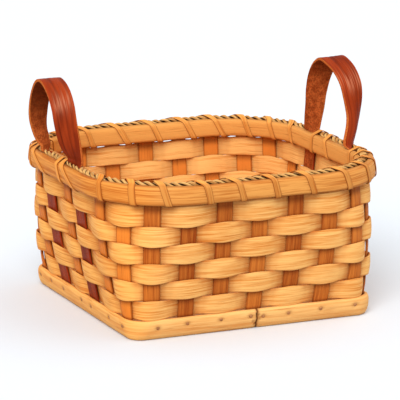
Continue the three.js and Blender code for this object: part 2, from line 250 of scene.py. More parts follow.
def passes_outside(index, row):
    """True where a weaver row passes outside a stake: every second one, in the next row the others."""
    return (index + row) % 2 == 1


def nearest_stake(place, z):
    """Which stake a strip belongs to at each place, and how far it is on the way to its crossing.

    The share is 0 at the stake's middle and 1 where the strip changes sides, which is the
    middle of the free gap to the next stake.
    """
    pitch = pitch_at(z)
    centres = wrapped(STAKE_PLACE, STAKES)
    widths = wrapped(UPRIGHT_WIDTH)
    here = np.clip(np.searchsorted(centres, place, side="right") - 1, 0, STAKES)
    near, far = centres[here], centres[here + 1]
    crossing = (near + widths[here] / 2 / pitch + far - widths[here + 1] / 2 / pitch) / 2
    before = place < crossing
    share = np.where(before, (place - near) / (crossing - near), (far - place) / (far - crossing))
    stake = (np.where(before, here, here + 1) - 1) % STAKES
    return stake, np.clip(share, 0, 1)


def crossing_after(stake, z):
    """Place of the middle of the free gap after a stake."""
    following = (stake + 1) % STAKES
    edge = STAKE_PLACE[stake] + UPRIGHT_WIDTH[stake] / 2 / pitch_at(z)
    other = STAKE_PLACE[following] - UPRIGHT_WIDTH[following] / 2 / pitch_at(z)
    return (edge + other + np.where(following < stake, STAKES, 0)) / 2


def drift(along, size, waves, count=5):
    """Slow seeded waver along a strip: a few sines of whole numbers of waves, of the given size."""
    numbers = rng.integers(1, waves, count)
    phases = rng.uniform(0, 2 * math.pi, count)
    parts = np.sin(2 * math.pi * np.multiply.outer(along, numbers) + phases)
    return size * parts.sum(axis=-1) / math.sqrt(count)


def reed_section(face_points, edge_points, edge_share, crown):
    """Flat oval section of a split reed: across s and through t, each from -1 to 1.

    Both faces are thinner towards the edges by the crown's share times s squared, and half
    ellipses close the edges. The outer face, t above 0, comes first.
    """
    reach = 1 - edge_share
    face = np.linspace(reach, -reach, face_points)
    turn = np.linspace(math.pi / 2, -math.pi / 2, edge_points + 2)[1:-1]
    rim = 1 - crown * reach * reach
    edge_s = reach + edge_share * np.cos(turn)
    edge_t = rim * np.sin(turn)
    face_t = 1 - crown * face * face
    s = np.concatenate([face, -edge_s, face[::-1], edge_s])
    t = np.concatenate([face_t, edge_t, -face_t, -edge_t])
    return s, t


def half_round(height, thick, power, points):
    """Half-round section: levels above the foot and depths from the flat back.

    The round side is half a superellipse of the given power, and the flat back closes it.
    """
    turn = np.linspace(-math.pi / 2, math.pi / 2, points)
    power = 2 / power
    depth = thick * np.abs(np.cos(turn)) ** power
    level = height / 2 * (1 + np.sign(turn) * np.abs(np.sin(turn)) ** power)
    back = np.linspace(1, 0, points // 3)[1:-1]
    return np.concatenate([level, height * back]), np.concatenate([depth, 0 * back])


# Girth in metres that open strips are given, so that patterns run nearly straight along them
OPEN_GIRTH = 8.0


def tube(name, rows, along, across, material, ring, tone=None, extra=None):
    """Skin over a run of closed sections, as one mesh in metres.

    rows[i, j] is point j of section i. A ring joins the last section to the first; an open run
    is closed by a fan at each end. The UV map holds the lengths along and across, in metres. The
    points carry the piece's tone, its girth for patterns that go round it, its nook, where its
    colour is darkened, mostly as painted shade, and what extra holds.
    """
    count, size = rows.shape[:2]
    along = np.broadcast_to(np.asarray(along, float).reshape(len(along), -1), (len(along), size))
    across = np.broadcast_to(across, (count, size))
    if ring:
        across = np.concatenate([across, across[:1]])
    steps = count if ring else count - 1
    i, j = np.meshgrid(np.arange(steps), np.arange(size), indexing="ij")
    k = (j + 1) % size
    corners = [(i, j), (i + 1, j), (i + 1, k), (i, k)]
    quads = np.stack([(a % count) * size + b for a, b in corners], axis=-1).reshape(-1, 4)
    quad_uv = np.stack([np.stack([along[a, b], across[a, b]], -1) for a, b in corners], axis=2)
    points = rows.reshape(-1, 3)
    if ring:
        fans = np.empty((0, 3), int)
        fan_uv = np.empty((0, 3, 2))
    else:
        first = np.arange(size)
        second = (first + 1) % size
        last = (count - 1) * size
        hubs = np.stack([rows[0].mean(0), rows[-1].mean(0)])
        hub = len(points)
        points = np.concatenate([points, hubs])
        fans = np.concatenate([
            np.stack([first, second, np.full(size, hub)], -1),
            np.stack([last + second, last + first, np.full(size, hub + 1)], -1),
        ])
        flat_uv = np.stack([along[:count], across], -1).reshape(-1, 2)
        flat_uv = np.concatenate([flat_uv, flat_uv[[0, last]]])
        fan_uv = flat_uv[fans]
    p0, p1, p2, p3 = (points[quads[:, corner]] for corner in range(4))
    volume = np.einsum("ij,ij->", p0, np.cross(p1, p2) + np.cross(p2, p3))
    quad_uv = quad_uv.reshape(-1, 4, 2)
    if volume < 0:
        quads, quad_uv = quads[:, ::-1], quad_uv[:, ::-1]
        fans, fan_uv = fans[:, ::-1], fan_uv[:, ::-1]
    mesh = bpy.data.meshes.new(name)
    mesh.vertices.add(len(points))
    mesh.vertices.foreach_set("co", (points * MM).astype(np.float32).ravel())
    loops = np.concatenate([quads.ravel(), fans.ravel()]).astype(np.int32)
    starts = np.concatenate([4 * np.arange(len(quads)), 4 * len(quads) + 3 * np.arange(len(fans))])
    mesh.loops.add(len(loops))
    mesh.loops.foreach_set("vertex_index", loops)
    mesh.polygons.add(len(starts))
    mesh.polygons.foreach_set("loop_start", starts.astype(np.int32))
    uv = np.concatenate([quad_uv.reshape(-1, 2), fan_uv.reshape(-1, 2)]) * MM
    mesh.uv_layers.new(name="strip").data.foreach_set("uv", uv.astype(np.float32).ravel())
    girth = along[-1, 0] * MM if ring else OPEN_GIRTH
    values = {"tone": rng.uniform(0, 1) if tone is None else tone, "girth": girth, "nook": 0.0}
    values.update(extra or {})
    for label, value in values.items():
        value = np.broadcast_to(value, (count, size)).ravel()
        value = np.concatenate([value, value[[0, -1]]])[: len(points)]
        layer = mesh.attributes.new(label, "FLOAT", "POINT")
        layer.data.foreach_set("value", value.astype(np.float32))
    mesh.update(calc_edges=True)
    mesh.validate()
    mesh.shade_smooth()
    mesh.materials.append(material)
    piece = bpy.data.objects.new(name, mesh)
    bpy.context.collection.objects.link(piece)
    return piece


def lengths(path):
    """Length along a run of points, starting at 0."""
    return np.concatenate([[0], np.cumsum(np.linalg.norm(np.diff(path, axis=0), axis=1))])


SAMPLES_PER_STRETCH = 40


def smooth_curve(points, count, closed=False):
    """Even points on a smooth curve through the given ones.

    Each stretch is a cubic whose slope at either end is half the difference of the points on both
    sides of it, sampled finely and then spaced evenly by length.
    """
    points = np.asarray(points, float)
    if closed:
        run = np.concatenate([points[-1:], points, points[:2]])
    else:
        run = np.concatenate([2 * points[:1] - points[1:2], points, 2 * points[-1:] - points[-2:-1]])
    share = np.linspace(0, 1, SAMPLES_PER_STRETCH, endpoint=False)[:, None]
    p0, p1, p2, p3 = (run[k:len(run) - 3 + k, None, :] for k in range(4))
    fine = 0.5 * (
        2 * p1 + (p2 - p0) * share + (2 * p0 - 5 * p1 + 4 * p2 - p3) * share ** 2
        + (3 * p1 - p0 - 3 * p2 + p3) * share ** 3
    )
    fine = np.concatenate([fine.reshape(-1, points.shape[1]), run[-2:-1]])
    length = lengths(fine)
    at = np.linspace(0, length[-1], count, endpoint=not closed)
    return np.stack([np.interp(at, length, fine[:, axis]) for axis in range(points.shape[1])], axis=-1)


def smoothstep(x):
    """Eases from 0 to 1 with level ends."""
    x = np.clip(x, 0, 1)
    return x * x * (3 - 2 * x)


def unit(vectors):
    """Vectors of length one."""
    return vectors / np.linalg.norm(vectors, axis=-1, keepdims=True)


# Materials

def colour(red, green, blue):
    """A written colour, 0 to 255, as the linear numbers a shader takes."""
    share = np.array([red, green, blue]) / 255
    linear = np.where(share <= 0.04045, share / 12.92, ((share + 0.055) / 1.055) ** 2.4)
    return (*linear.tolist(), 1.0)


PATTERNS_APART = 61.0


class Nodes:
    """Short ways to add and join the nodes of one tree."""

    def __init__(self, tree):
        self.tree = tree

    def add(self, kind, **settings):
        """A new node with its settings."""
        node = self.tree.nodes.new(kind)
        for name, value in settings.items():
            setattr(node, name, value)
        return node

    def feed(self, value, socket):
        """Joins a socket to another one's value, or sets it to a plain value."""
        if isinstance(value, bpy.types.NodeSocket):
            self.tree.links.new(value, socket)
        else:
            socket.default_value = value

    def math(self, operation, a, b=0.0, clamp=False):
        """A sum, product or other working on two values."""
        node = self.add("ShaderNodeMath", operation=operation, use_clamp=clamp)
        self.feed(a, node.inputs[0])
        self.feed(b, node.inputs[1])
        return node.outputs[0]

    def times(self, a, b):
        """The product of two values."""
        return self.math("MULTIPLY", a, b)

    def swing(self, value, size):
        """A noise's swing about its middle, times a size."""
        return self.times(self.math("SUBTRACT", value, 0.5), size)

    def ramp(self, value, low, high):
        """Eases from 0 at the low value to 1 at the high one."""
        node = self.add("ShaderNodeMapRange", interpolation_type="SMOOTHSTEP")
        self.feed(value, node.inputs["Value"])
        node.inputs["From Min"].default_value = low
        node.inputs["From Max"].default_value = high
        return node.outputs["Result"]

    def mix(self, factor, a, b, blend="MIX"):
        """Colour a where the factor is 0, and b, or a blended with b, where it is 1."""
        node = self.add("ShaderNodeMix", data_type="RGBA", blend_type=blend)
        self.feed(factor, node.inputs[0])
        self.feed(a, node.inputs[6])
        self.feed(b, node.inputs[7])
        return node.outputs[2]

    def noise(self, vector, scale=1.0, detail=2.0, rough=0.5, apart=None):
        """Soft noise at a place; apart gives each piece its own pattern."""
        node = self.add("ShaderNodeTexNoise", noise_dimensions="3D" if apart is None else "4D")
        self.feed(vector, node.inputs["Vector"])
        node.inputs["Scale"].default_value = scale
        node.inputs["Detail"].default_value = detail
        node.inputs["Roughness"].default_value = rough
        if apart is not None:
            self.feed(apart, node.inputs["W"])
        return node.outputs["Fac"]

    def attribute(self, name):
        """A value that the mesh carries on its points."""
        return self.add("ShaderNodeAttribute", attribute_name=name).outputs["Fac"]

    def strip(self):
        """Place on a strip: the length along it wound on a circle of its girth, and the way across.

        So a pattern on a closed strip meets itself without a break.
        """
        uv = self.add("ShaderNodeUVMap", uv_map="strip")
        parts = self.add("ShaderNodeSeparateXYZ")
        self.feed(uv.outputs[0], parts.inputs[0])
        radius = self.math("DIVIDE", self.attribute("girth"), 2 * math.pi)
        turn = self.math("DIVIDE", parts.outputs[0], radius)
        place = self.add("ShaderNodeCombineXYZ")
        self.feed(self.times(self.math("COSINE", turn), radius), place.inputs[0])
        self.feed(self.times(self.math("SINE", turn), radius), place.inputs[1])
        self.feed(parts.outputs[1], place.inputs[2])
        return place.outputs[0]

    def grain(self, place, along, across, detail=2.0, rough=0.5):
        """Noise on a strip, with its waves per metre along and across."""
        stretch = self.add("ShaderNodeVectorMath", operation="MULTIPLY")
        self.feed(place, stretch.inputs[0])
        stretch.inputs[1].default_value = (along, along, across)
        apart = self.times(self.attribute("tone"), PATTERNS_APART)
        return self.noise(stretch.outputs[0], 1.0, detail, rough, apart)


def effect(name, inputs, outputs):
    """New shader node group with named sockets: the group, its nodes' helper, and both ends inside."""
    group = bpy.data.node_groups.new(name, "ShaderNodeTree")
    for label, kind in inputs:
        group.interface.new_socket(name=label, in_out="INPUT", socket_type=kind)
    for label, kind in outputs:
        group.interface.new_socket(name=label, in_out="OUTPUT", socket_type=kind)
    nodes = Nodes(group)
    given = nodes.add("NodeGroupInput").outputs
    result = nodes.add("NodeGroupOutput").inputs
    return group, nodes, given, result


# Painted shade of the left side: the orange it is multiplied by, and how far left of the middle, in
# metres, it starts and is full
LEFT_SIDE_SHADE = (1.05, 0.95, 0.77, 1.0)
LEFT_SHADE_FROM_TO = (0.066, 0.088)


def reed_grain():
    """Split reed: pale ground, long deeper streaks and lines, fine fibres, a few dark flecks.

    The attribute nook is high where strips press together and where they lie under others; there
    shade is painted into the colour, and on the band it marks the brads' dents and butted ends.
    Reed on the left side is multiplied by an orange: painted shade that makes that side browner.
    """
    group, n, given, result = effect(
        "reed_grain",
        [("Pale", "NodeSocketColor"), ("Deep", "NodeSocketColor"), ("Fleck", "NodeSocketColor"),
         ("Nook", "NodeSocketColor"), ("Streaks", "NodeSocketFloat"), ("Flecks", "NodeSocketFloat")],
        [("Color", "NodeSocketColor"), ("Roughness", "NodeSocketFloat"), ("Height", "NodeSocketFloat")],
    )
    place = n.strip()
    streak = n.ramp(n.grain(place, along=22, across=500, detail=3.0, rough=0.6), 0.44, 0.63)
    line = n.ramp(n.grain(place, along=32, across=1150, rough=0.6), 0.47, 0.62)
    broad = n.grain(place, along=12, across=70)
    fibre = n.grain(place, along=80, across=3000, rough=0.65)
    fleck = n.ramp(n.grain(place, along=45, across=1300, detail=1.0), 0.62, 0.76)
    depth = n.times(n.math("ADD", streak, line), given["Streaks"])
    depth = n.math("ADD", depth, n.swing(broad, 0.7))
    depth = n.math("ADD", depth, n.swing(fibre, 0.5))
    # Tone picks each piece's shade of reed at random; it is lowered on inside faces and the inner rim as
    # painted light
    depth = n.math("ADD", depth, n.swing(n.attribute("tone"), 0.45), clamp=True)
    ground = n.mix(depth, given["Pale"], given["Deep"])
    flecked = n.mix(n.times(fleck, given["Flecks"]), ground, given["Fleck"])
    # Painted shade: the nook colour is mixed in where the nook attribute is high
    nook_darkened = n.mix(n.attribute("nook"), flecked, given["Nook"])
    spot = n.add("ShaderNodeSeparateXYZ")
    n.feed(n.add("ShaderNodeTexCoord").outputs["Object"], spot.inputs[0])
    # Painted shade: reed left of the middle is multiplied by an orange, browner there
    left_shaded = n.ramp(n.times(spot.outputs[0], -1.0), *LEFT_SHADE_FROM_TO)
    n.feed(n.mix(left_shaded, nook_darkened, LEFT_SIDE_SHADE, "MULTIPLY"), result["Color"])
    n.feed(n.math("ADD", n.times(fibre, 0.25), 0.4), result["Roughness"])
    height = n.math("SUBTRACT", n.times(fibre, 0.4), n.times(streak, 0.4))
    height = n.math("SUBTRACT", height, n.times(line, 0.4))
    n.feed(n.math("SUBTRACT", height, n.times(fleck, 0.5)), result["Height"])
    return group


def finish_of(name):
    """New material with its helper and its Principled shader."""
    material = bpy.data.materials.new(name)
    material.use_nodes = True
    nodes = Nodes(material.node_tree)
    return material, nodes, material.node_tree.nodes["Principled BSDF"]


def bumped(nodes, shader, height, strength, depth):
    """Feeds a height to the shader's normal; depth is in metres."""
    bump = nodes.add("ShaderNodeBump")
    bump.inputs["Strength"].default_value = strength
    bump.inputs["Distance"].default_value = depth
    nodes.feed(height, bump.inputs["Height"])
    nodes.feed(bump.outputs["Normal"], shader.inputs["Normal"])


GRAIN = reed_grain()


REED_BUMP = 0.00025
LEATHER_BUMP = 0.0003
SEAGRASS_BUMP = 0.0003
BOARD_BUMP = 0.0003


def reed(name, pale, deep, fleck, nook, streaks, flecks):
    """A reed finish from the shared grain, with its own colours."""
    material, nodes, shader = finish_of(name)
    grain = nodes.add("ShaderNodeGroup", node_tree=GRAIN)
    grain.inputs["Pale"].default_value = colour(*pale)
    grain.inputs["Deep"].default_value = colour(*deep)
    grain.inputs["Fleck"].default_value = colour(*fleck)
    grain.inputs["Nook"].default_value = colour(*nook)
    grain.inputs["Streaks"].default_value = streaks
    grain.inputs["Flecks"].default_value = flecks
    nodes.feed(grain.outputs["Color"], shader.inputs["Base Color"])
    nodes.feed(grain.outputs["Roughness"], shader.inputs["Roughness"])
    shader.inputs["Specular IOR Level"].default_value = 0.06
    bumped(nodes, shader, grain.outputs["Height"], 0.6, REED_BUMP)
    return material


def leather_finish():
    """Strap leather: dyed grain outside, rough suede inside and pale cut edges.

    The attribute face runs from 1 outside over 0 on the edges to -1 inside. Crease is high in
    the long folds, where shade is painted darker; another attribute is high where a highlight is
    painted paler on the loop's shoulder, and nook where shade is painted dark inside the top of
    the loop.
    """
    material, n, shader = finish_of("strap_leather")
    face = n.attribute("face")
    outside = n.ramp(face, 0.3, 0.75)
    inside = n.ramp(n.times(face, -1.0), 0.3, 0.75)
    coordinates = n.add("ShaderNodeTexCoord").outputs["Object"]
    place = n.strip()
    cloud = n.grain(place, along=40, across=160, detail=3.0)
    pull = n.grain(place, along=26, across=900, detail=3.0, rough=0.6)
    nap = n.noise(coordinates, 900, detail=3.0, rough=0.7)
    patch = n.noise(coordinates, 190, detail=3.0, rough=0.65)
    pores = n.add("ShaderNodeTexVoronoi", feature="DISTANCE_TO_EDGE")
    n.feed(coordinates, pores.inputs["Vector"])
    pores.inputs["Scale"].default_value = 1300
    pebble = n.ramp(pores.outputs["Distance"], 0.0, 0.12)
    dyed = n.mix(n.ramp(cloud, 0.3, 0.7), colour(124, 40, 14), colour(160, 58, 22))
    dyed = n.mix(n.times(n.ramp(pull, 0.5, 0.7), 0.6), dyed, colour(92, 26, 8))
    # Painted shade in the long creases
    dyed = n.mix(n.times(n.attribute("crease"), 0.7), dyed, colour(86, 24, 6))
    # Painted highlight: paler streaks on the loop's shoulder
    highlight_streak = n.ramp(n.grain(place, along=30, across=1100, detail=3.0, rough=0.6), 0.42, 0.66)
    dyed = n.mix(n.times(highlight_streak, n.attribute("painted_highlight")), dyed, colour(212, 134, 98))
    suede = n.mix(n.ramp(patch, 0.25, 0.75), colour(144, 62, 23), colour(200, 102, 48))
    suede = n.mix(n.times(n.ramp(nap, 0.42, 0.66), 0.62), suede, colour(92, 36, 12))
    # Painted shade inside the top of the loop
    suede = n.mix(n.attribute("nook"), suede, colour(84, 30, 8))
    cut = n.mix(n.ramp(nap, 0.3, 0.7), colour(206, 114, 52), colour(166, 80, 34))
    n.feed(n.mix(inside, n.mix(outside, cut, dyed), suede), shader.inputs["Base Color"])
    shader.inputs["Specular IOR Level"].default_value = 0.03
    rough = n.math("ADD", n.times(pull, 0.2), 0.3)
    rough = n.math("ADD", rough, n.times(n.math("SUBTRACT", 1.0, outside), 0.5), clamp=True)
    n.feed(rough, shader.inputs["Roughness"])
    fine = n.math("ADD", n.times(pebble, 0.15), n.times(pull, -0.6))
    coarse = n.times(n.math("ADD", nap, patch), 1.2)
    height = n.math("ADD", n.times(fine, outside), n.times(coarse, inside))
    bumped(n, shader, height, 0.7, LEATHER_BUMP)
    return material


def seagrass_finish():
    """Twisted seagrass: straw-coloured blades with browner ones between.

    The attribute depth is high where one ply lies against the other, and there shade is painted
    dark.
    """
    material, n, shader = finish_of("seagrass_cord")
    place = n.strip()
    blade = n.grain(place, along=60, across=900)
    fibre = n.grain(place, along=140, across=3200)
    straw = n.mix(n.ramp(blade, 0.35, 0.7), colour(226, 178, 108), colour(180, 118, 56))
    straw = n.mix(n.times(n.ramp(fibre, 0.5, 0.75), 0.6), straw, colour(120, 68, 28))
    # Painted shade where one ply lies against the other
    deep = n.ramp(n.attribute("depth"), 0.05, 0.7)
    n.feed(n.mix(deep, straw, colour(58, 28, 8)), shader.inputs["Base Color"])
    shader.inputs["Specular IOR Level"].default_value = 0.1
    shader.inputs["Roughness"].default_value = 0.6
    bumped(n, shader, n.math("ADD", blade, n.times(fibre, 0.6)), 0.8, SEAGRASS_BUMP)
    return material


def board_finish():
    """Plain softwood board: long rings across the top, read from the board's own place."""
    material, n, shader = finish_of("base_board_wood")
    mapping = n.add("ShaderNodeMapping")
    n.feed(n.add("ShaderNodeTexCoord").outputs["Object"], mapping.inputs["Vector"])
    mapping.inputs["Scale"].default_value = (4.0, 60.0, 8.0)
    ring = n.add("ShaderNodeTexWave", wave_type="BANDS", bands_direction="Y")
    n.feed(mapping.outputs[0], ring.inputs["Vector"])
    ring.inputs["Scale"].default_value = 0.6
    ring.inputs["Distortion"].default_value = 3.0
    ring.inputs["Detail"].default_value = 2.0
    ring.inputs["Detail Scale"].default_value = 0.6
    fibre = n.noise(mapping.outputs[0], 22.0, detail=3.0, rough=0.6)
    wood = n.mix(n.ramp(ring.outputs["Fac"], 0.2, 0.9), colour(226, 168, 98), colour(196, 126, 62))
    wood = n.mix(n.times(n.ramp(fibre, 0.45, 0.8), 0.45), wood, colour(160, 92, 40))
    n.feed(wood, shader.inputs["Base Color"])
    n.feed(n.math("ADD", n.times(fibre, 0.2), 0.45), shader.inputs["Roughness"])
    bumped(n, shader, fibre, 0.5, BOARD_BUMP)
    return material


def brad_finish():
    """Dull brad heads, browned by rust in spots."""
    material, n, shader = finish_of("brad_steel")
    spots = n.noise(n.add("ShaderNodeTexCoord").outputs["Object"], 1400, detail=2.0)
    rust = n.ramp(spots, 0.4, 0.65)
    n.feed(n.mix(rust, colour(190, 130, 78), colour(140, 84, 42)), shader.inputs["Base Color"])
    n.feed(n.math("ADD", n.times(rust, 0.3), 0.5), shader.inputs["Roughness"])
    n.feed(n.math("SUBTRACT", 0.2, n.times(rust, 0.15)), shader.inputs["Metallic"])
    return material


# Each reed's nook colour is painted shade for the weave, rim and lashing; on the band it darkens the
# dents and the butted ends
WEAVER_REED = reed(
    "weaver_reed", pale=(248, 190, 112), deep=(218, 132, 54), fleck=(190, 102, 40), nook=(178, 92, 34),
    streaks=0.5, flecks=0.5,
)
STAKE_REED = reed(
    "stake_reed", pale=(226, 134, 54), deep=(146, 62, 16), fleck=(112, 46, 12), nook=(104, 42, 12),
    streaks=0.2, flecks=0.5,
)
RIM_REED = reed(
    "rim_reed", pale=(230, 160, 82), deep=(194, 114, 46), fleck=(160, 82, 30), nook=(124, 58, 18),
    streaks=0.5, flecks=0.5,
)
LASHING_REED = reed(
    "lashing_reed", pale=(238, 165, 82), deep=(204, 117, 43), fleck=(168, 90, 34), nook=(132, 58, 14),
    streaks=0.5, flecks=0.4,
)
BAND_REED = reed(
    "band_reed", pale=(243, 187, 114), deep=(217, 137, 64), fleck=(180, 104, 46), nook=(140, 82, 38),
    streaks=0.4, flecks=0.5,
)
LEATHER = leather_finish()
SEAGRASS = seagrass_finish()
BOARD_WOOD = board_finish()
BRAD_STEEL = brad_finish()


# Woven wall

def weaver(name, row, level, half, spread, stations_per_pitch, rise=0.0, lean=0.0):
    """One weaver: a flat oval carried round the wall, swinging to either side of the stakes.

    Its offset is the reach times tanh of a cosine, so that it lies nearly flat over a stake and
    crosses the wall steeply in the gap; it grows wider over the stakes, but inside the back wall
    it rises instead, and its faces carry shallow flutes that wander along it. Its upper edge
    stands higher by twice the rise, and in front by twice the lean more, as a cosine round the
    wall. Shade is painted into it at its crossings and edges, on its hidden side, at its upper
    corners under the row above and under the rim; its inside face is drawn paler, as painted
    light.
    """
    count = STAKES * stations_per_pitch
    place = np.linspace(0, STAKES, count, endpoint=False) + STAKE_PLACE[0]
    turn = np.arange(count) / count
    near, share = nearest_stake(place, level)
    out = np.where(passes_outside(near, row), 1.0, -1.0)
    reach = np.where(IS_LEATHER, WEAVER_REACH_AT_LEATHER, WEAVER_REACH)
    reach = reach + rng.uniform(-0.06, 0.14, STAKES)
    swing = np.tanh(WEAVER_TURN * np.cos(share * math.pi / 2)) / math.tanh(WEAVER_TURN)
    offset = out * reach[near] * swing
    over = np.cos(share * math.pi / 2) ** 2
    frontness = np.cos(2 * math.pi * place / STAKES)
    lift = rise + lean * frontness
    inside = (out < 0) * smoothstep((0.2 - frontness) / 0.6)
    swell = spread * over * (1 - (1 - WEAVER_INSIDE_SPREAD) * inside)
    swell = swell * rng.uniform(0.75, 1.15, STAKES)[near]
    tall = half + lift + swell + drift(turn, size=0.03, waves=40)
    middle = level + lift + drift(turn, size=0.05, waves=20) + WEAVER_INSIDE_RISE * spread * over * inside
    s, t = reed_section(face_points=17, edge_points=4, edge_share=0.07, crown=0.35)
    across = tall[:, None] * s
    wander = drift(turn, size=1.6, waves=30)[:, None]
    flute = WEAVER_FLUTE * np.sin(across * WEAVER_FLUTE_WAVES + wander) * (1 - s ** 4)
    bow = WEAVER_BOW * (out * over)[:, None] * (1 - s * s)
    depth = offset[:, None] + bow + (WEAVER_THICK / 2 + flute) * t
    z = middle[:, None] + across
    rows = wall(place[:, None], z, depth)
    along = np.arange(count + 1) * STAKES * pitch_at(level) / count
    # Painted shade: on the side against the stakes, along the edges, at the crossings, at the upper
    # corners under the row above, and in a band under the rim
    behind = (out[:, None] * t < 0) * smoothstep((1.0 - share) / 0.4)[:, None]
    behind = behind * np.where(t > 0, 0.5, 0.25)
    edge = 0.25 * smoothstep((np.abs(s) - 0.86) / 0.14)
    crossing = 0.14 * smoothstep((share - 0.75) / 0.25)[:, None]
    corner = 0.4 * smoothstep((share - 0.5) / 0.4)[:, None] * smoothstep((s - 0.2) / 0.7) * (t > 0)
    covered = 0.7 * smoothstep((z - RIM_LOW + 2.0) / 1.0)
    nook = np.clip(crossing + behind + edge + corner + covered, 0, 0.7)
    # Painted light: the inside face is drawn paler
    shade = rng.uniform(0.3, 0.7) - WEAVER_INSIDE_PAINTED_LIGHT * (t < 0)
    return tube(name, rows, along, across, WEAVER_REED, ring=True, tone=shade, extra={"nook": nook})


# How dark each stake is dyed: the front ones most, those round the left corner least
STAKE_TONES = np.array([
    1.25, 2.0, 1.6, 1.4, 1.8, 1.5, 1.1, 1.0, 0.8, 0, 0.8, 0, 0.9, 0.8,
    0.8, 1.1, 0.8, 1.2, 0.9, 1.0, 0.7, 0.5, 0.4, 0, 0.4, 0, 0.4, 0.3,
]) + rng.normal(0, 0.1, STAKES)
# How much paler the stakes' inside faces are drawn, through their tone: painted light
STAKE_INSIDE_PAINTED_LIGHT = 1.05


def stake(name, index):
    """One stake: a flat oval carried up the wall, swaying a little away from each weaver.

    Its sway is a cosine of the level that turns over at each row. Shade is painted under each
    row, along its edges and under the rim, and its inside face is drawn paler, as painted light.
    """
    z = np.linspace(STAKE_FOOT, STAKE_TOP, STAKE_STATIONS)
    s, t = reed_section(face_points=13, edge_points=4, edge_share=0.06, crown=0.25)
    first = 1.0 if passes_outside(index, 1) else -1.0
    sway = -first * STAKE_SWAY * np.cos(math.pi * (z - ROW_LEVELS[0]) / ROW_PITCH)
    sway = sway * smoothstep((z - BAND_TOP) / 6) * smoothstep((RIM_LOW - z) / 6)
    width = STAKE_WIDTH + drift(z / STAKE_TOP, size=0.1, waves=6)
    lean = drift(z / STAKE_TOP, size=0.12, waves=3)
    across = width[:, None] / 2 * s
    flute = STAKE_FLUTE * np.sin(across * STAKE_FLUTE_WAVES + rng.uniform(0, 6)) * (1 - s ** 4)
    depth = sway[:, None] + (STAKE_THICK / 2 + flute) * t
    place = STAKE_PLACE[index] + (across + lean[:, None]) / pitch_at(z)[:, None]
    rows = wall(place, z[:, None], depth)
    row_share = (z - ROW_LEVELS[0]) / ROW_PITCH + 0.5
    within = (row_share - np.floor(row_share))[:, None]
    # Painted shade: darkest at the top of each window under the row above, a little at its foot, along
    # the edges and under the rim
    under = 0.6 * smoothstep((within - 0.55) / 0.4) + 0.2 * smoothstep((0.14 - within) / 0.14)
    edge = 0.45 * smoothstep((np.abs(s) - 0.78) / 0.22)
    covered = 0.35 * smoothstep((z - RIM_LOW + 3.5) / 2.5)[:, None]
    nook = np.clip(under + edge + covered, 0, 0.8)
    # Painted light: the inside face is drawn paler
    shade = STAKE_TONES[index] - STAKE_INSIDE_PAINTED_LIGHT * (t < 0)
    return tube(name, rows, z, across, STAKE_REED, ring=False, tone=shade, extra={"nook": nook})


# Base

def base_board():
    """The board: loops of the wall's inside, drawn in to the middle of both faces.

    Loops run from the middle of the underside out, round the eased edge and back in on top.
    """
    places = np.linspace(0, STAKES, BOARD_STATIONS, endpoint=False)
    loops = 8
    turn = np.linspace(-math.pi / 2, math.pi / 2, 9)
    below, above = turn[:5], turn[4:]
    level = np.concatenate([
        np.zeros(loops), BOARD_EASE + BOARD_EASE * np.sin(below),
        BOARD_TOP - BOARD_EASE + BOARD_EASE * np.sin(above), np.full(loops, BOARD_TOP),
    ])
    pull = np.concatenate([
        np.full(loops, BOARD_EASE), BOARD_EASE * (1 - np.cos(below)),
        BOARD_EASE * (1 - np.cos(above)), np.full(loops, BOARD_EASE),
    ])
    widen = np.linspace(0.02, 1, loops + 1)[:loops]
    shrink = np.concatenate([widen, np.ones(len(below) + len(above)), widen[::-1]])
    rows = wall(places[None, :], level[:, None], -BOARD_INSET - pull[:, None])
    rows = rows * np.stack([shrink, shrink, np.ones_like(shrink)], -1)[:, None, :]
    return tube("base_board_plank", rows, np.arange(len(level)) * 1.0, places, BOARD_WOOD, ring=False)


def brad_places():
    """Places and levels of the brads: one at every stake's foot and one on each side of the seam."""
    at_stakes = STAKE_PLACE[STAKE_PLACE != 0.0]
    at_seam = SEAM_PLACE + np.array([-BRAD_FROM_SEAM, BRAD_FROM_SEAM])
    place = np.concatenate([at_stakes + rng.normal(0, 0.05, len(at_stakes)), at_seam])
    return place, BRAD_LEVEL + rng.normal(0, 0.4, len(place))


def band_depth(level):
    """Depth of the band's round face at a level: a superellipse of the band's height and thickness."""
    share = np.clip(np.abs(2 * level / BAND_TOP - 1), 0, 1)
    return BAND_THICK * (1 - share ** BAND_POWER) ** (1 / BAND_POWER)


# Depth, width and height of the dents round the brads and of the chips beside the seam
DENT = (0.9, 2.1, 1.5)
CHIP = (0.8, 1.0, 1.2)
CHIP_PLACES = SEAM_PLACE + np.array([-0.11, -0.06, 0.05, 0.1])
CHIP_LEVELS = np.array([5.2, 3.4, 9.6, 7.0])
BAND_LEAST = 0.3
BAND_FRONT_FROM = 0.5


